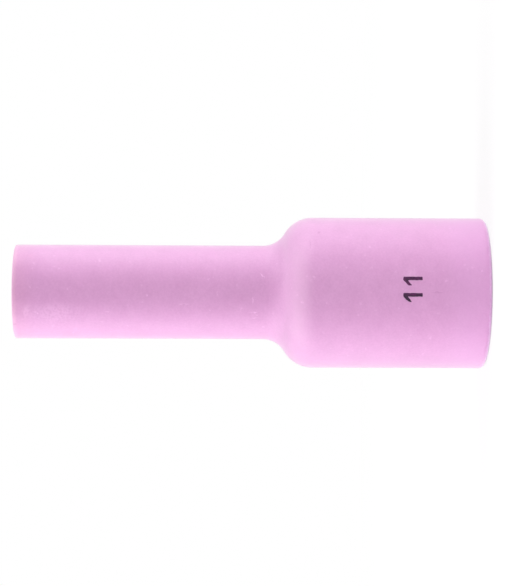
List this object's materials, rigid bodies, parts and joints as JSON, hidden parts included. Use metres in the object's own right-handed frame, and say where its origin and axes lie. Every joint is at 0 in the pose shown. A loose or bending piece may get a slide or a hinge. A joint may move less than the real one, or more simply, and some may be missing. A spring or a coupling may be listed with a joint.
{
  "type": "TIG gas-lens nozzle",
  "caption": "Long ceramic gas nozzle for a TIG torch: wide threaded rear body, smooth ogee shoulder and slim straight outlet tube that carries shielding gas to the weld.",
  "frame": {"origin": "centre of the rear face, the one that seats on the torch, at the nozzle's base", "axes": "+Z along the nozzle's axis from the rear face to the outlet lip; the printed size number faces -Y"},
  "size_m": [0.0244, 0.0244, 0.0762],
  "materials": {
    "alumina": "unglazed fired alumina, pink, dry satin surface"
  },
  "bodies": {
    "root": {"nozzle": "alumina"}
  },
  "joints": []
}
